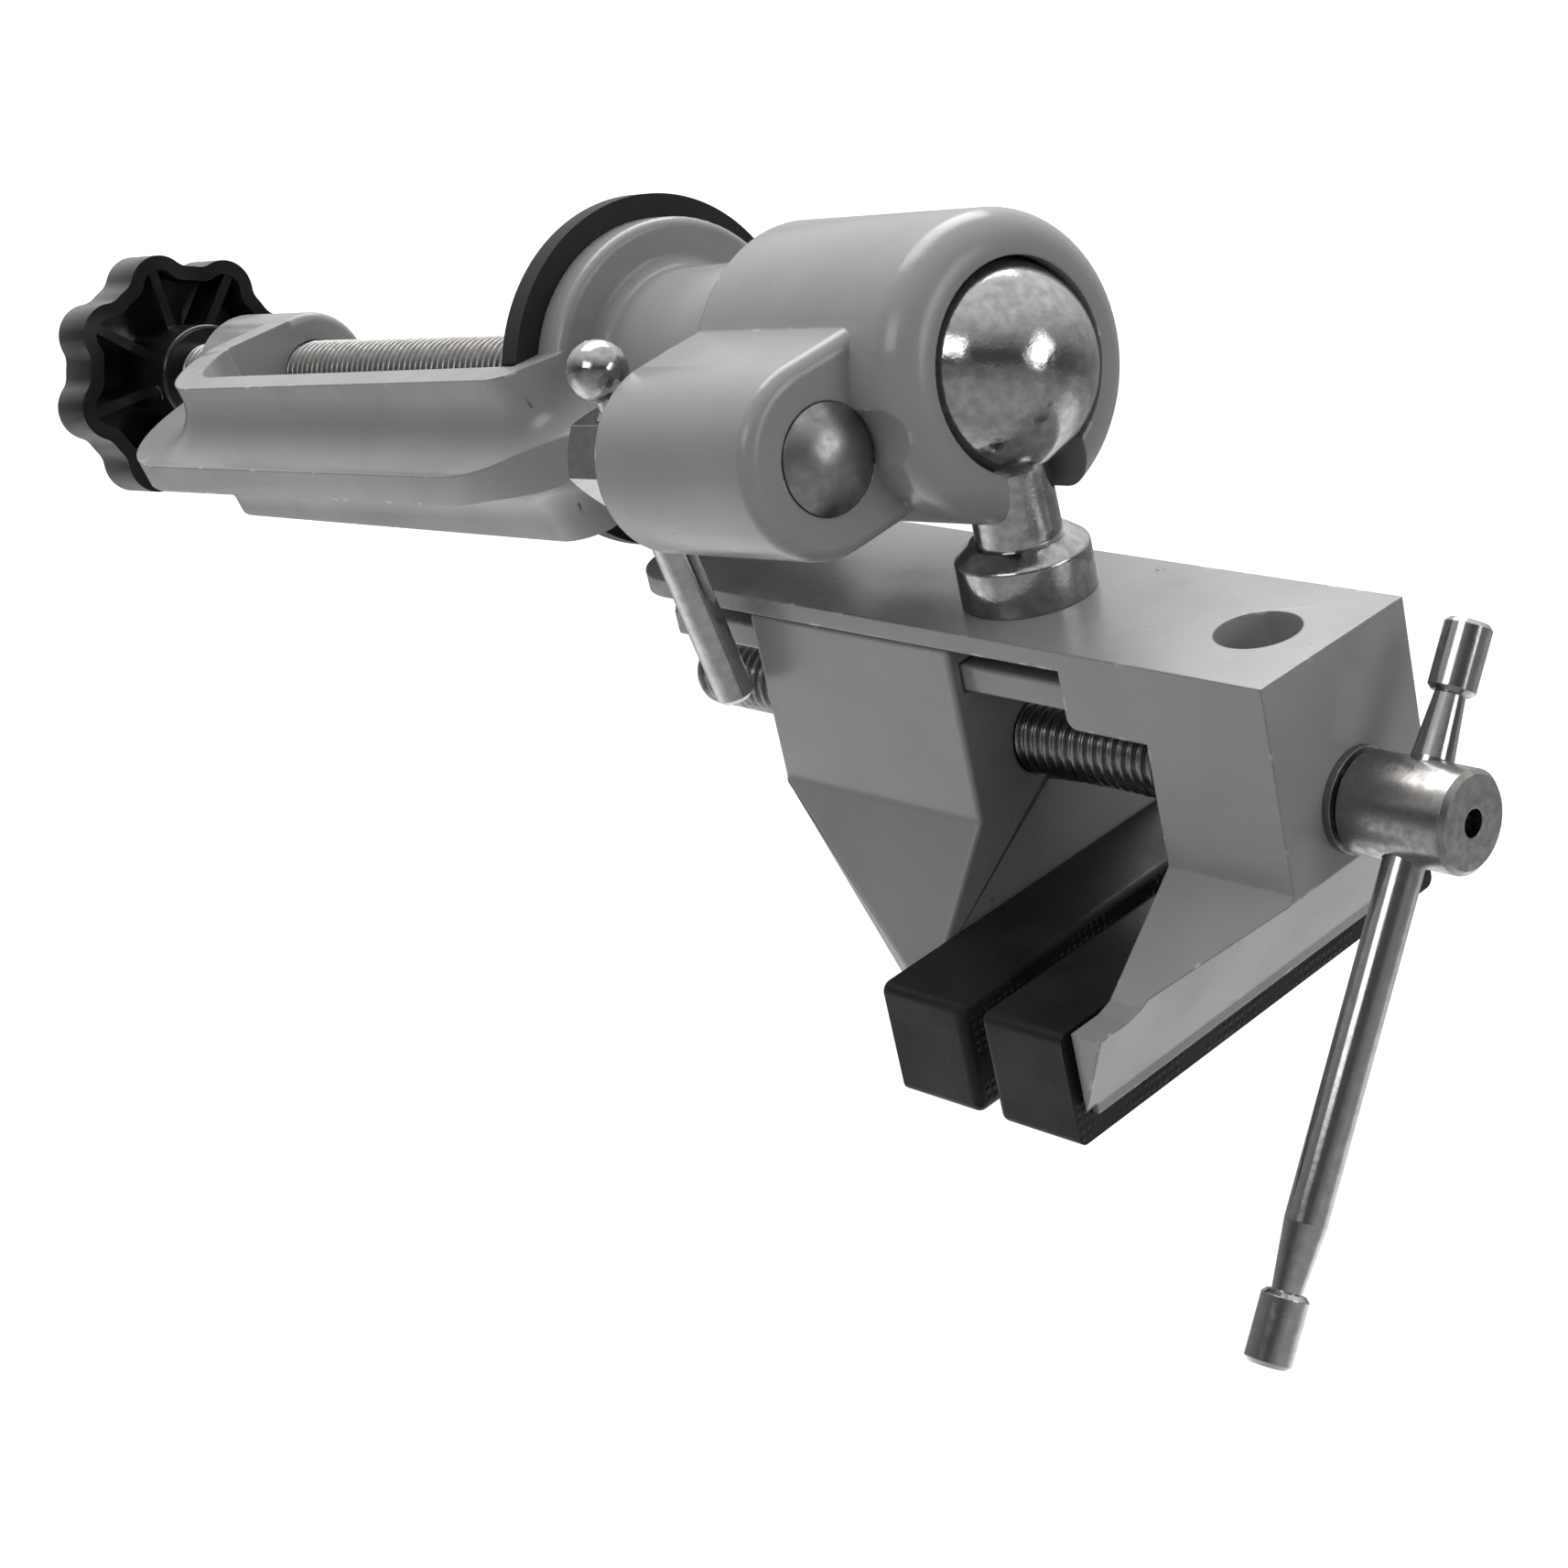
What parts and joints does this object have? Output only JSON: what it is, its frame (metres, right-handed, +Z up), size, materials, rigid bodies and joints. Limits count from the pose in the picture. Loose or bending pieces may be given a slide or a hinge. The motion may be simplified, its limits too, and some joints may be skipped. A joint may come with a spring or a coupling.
{
  "type": "ball vise",
  "caption": "Small bench vise on a ball joint, with rubber-faced jaws, a lead screw with T-handle, and a C-clamp base that grips a table edge.",
  "frame": {"origin": "centre of the underside of the rubber table pad, where the base rests on the table", "axes": "+Z up along the ball socket and the clamp screw, +Y to the side that the neck of the ball stud leans to at rest, +X to the side of the clamp bolt lug"},
  "size_m": [0.0837, 0.1463, 0.3074],
  "materials": {
    "painted_casting": "satin grey paint over a die casting",
    "pad_rubber": "matt black",
    "jaw_rubber": "matt black, fine pattern",
    "screw_steel": "turned, lightly oiled",
    "plated_steel": "bright zinc plating",
    "polished_chrome": "polished",
    "black_plastic": "glossy black moulding"
  },
  "bodies": {
    "base": {"base_casting": "painted_casting", "table_pad": "pad_rubber", "clamp_washer": "plated_steel"},
    "swivel_plate": {"pressure_plate": "plated_steel", "pressure_plate_ring": "screw_steel"},
    "clamp_spindle": {"clamp_screw": "screw_steel", "clamp_knob": "black_plastic", "knob_pin": "screw_steel"},
    "bolt": {"side_clamp_bolt": "plated_steel"},
    "slug": {"clamp_slug": "screw_steel"},
    "nut": {"clamp_nut": "plated_steel"},
    "tommy": {"tommy_bar": "plated_steel", "tommy_bar_ball": "polished_chrome"},
    "stud": {"ball_stud": "polished_chrome", "stud_screw": "screw_steel"},
    "vise": {"vise_body": "painted_casting", "guide_bar": "painted_casting", "guide_bar_pins": "screw_steel", "fixed_jaw_pad": "jaw_rubber", "thrust_washer": "screw_steel", "screw_clip": "screw_steel"},
    "moving_jaw": {"sliding_jaw": "painted_casting", "sliding_jaw_pad": "jaw_rubber"},
    "spindle": {"lead_screw": "screw_steel"},
    "handle": {"t_bar": "plated_steel", "t_bar_long_end_cap": "plated_steel", "t_bar_short_end_cap": "plated_steel"}
  },
  "joints": [
    {"name": "clamp_feed", "type": "slide", "parent": "base", "child": "swivel_plate", "axis": [0, 0, 1], "range_m": [-0.078, 0.0137]},
    {"name": "clamp_turn", "type": "hinge", "parent": "swivel_plate", "child": "clamp_spindle", "pos_m": [0, 0, -0.1], "axis": [0, 0, 1], "range_deg": [-16050, 2820]},
    {"name": "nut_turn", "type": "hinge", "parent": "base", "child": "nut", "pos_m": [0.02701, 0.00289, 0.032], "axis": [0, 0, 1], "range_deg": [-40, 0]},
    {"name": "bolt_draw", "type": "slide", "parent": "base", "child": "bolt", "axis": [0, 0, 1], "range_m": [0, 0.000166]},
    {"name": "slug_draw", "type": "slide", "parent": "base", "child": "slug", "axis": [0.9943, 0.1063, 0], "range_m": [0, 0.0001]},
    {"name": "tommy_slide", "type": "slide", "parent": "nut", "child": "tommy", "axis": [-0.1219, 0.9925, 0], "range_m": [-0.031, 0.0018]},
    {"name": "ball_fold", "type": "hinge", "parent": "base", "child": "stud", "pos_m": [0, 0, 0.0785], "axis": [1, 0, 0], "range_deg": [0, 126]},
    {"name": "ball_twist", "type": "hinge", "parent": "stud", "child": "vise", "pos_m": [0, 0, 0.0785], "axis": [0, 0.994, -0.1097], "range_deg": [0, 90]},
    {"name": "jaw_slide", "type": "slide", "parent": "vise", "child": "moving_jaw", "axis": [-0.0698, 0.1095, 0.9915], "range_m": [-0.046, 0.003]},
    {"name": "screw_turn", "type": "hinge", "parent": "vise", "child": "spindle", "pos_m": [-0.00277, 0.05896, 0.11183], "axis": [-0.0698, 0.1095, 0.9915], "range_deg": [-620, 9470]},
    {"name": "t_bar_slide", "type": "slide", "parent": "spindle", "child": "handle", "axis": [0.6155, 0.7869, -0.0436], "range_m": [-0.0558, 0.0086]}
  ],
  "couplings": [
    {"joint": "clamp_turn", "follows": "clamp_feed", "rad_per_m": 3590.4},
    {"joint": "nut_turn", "follows": "bolt_draw", "rad_per_m": -4188.8},
    {"joint": "slug_draw", "follows": "bolt_draw", "ratio": 0.31416},
    {"joint": "screw_turn", "follows": "jaw_slide", "rad_per_m": -3590.4}
  ]
}
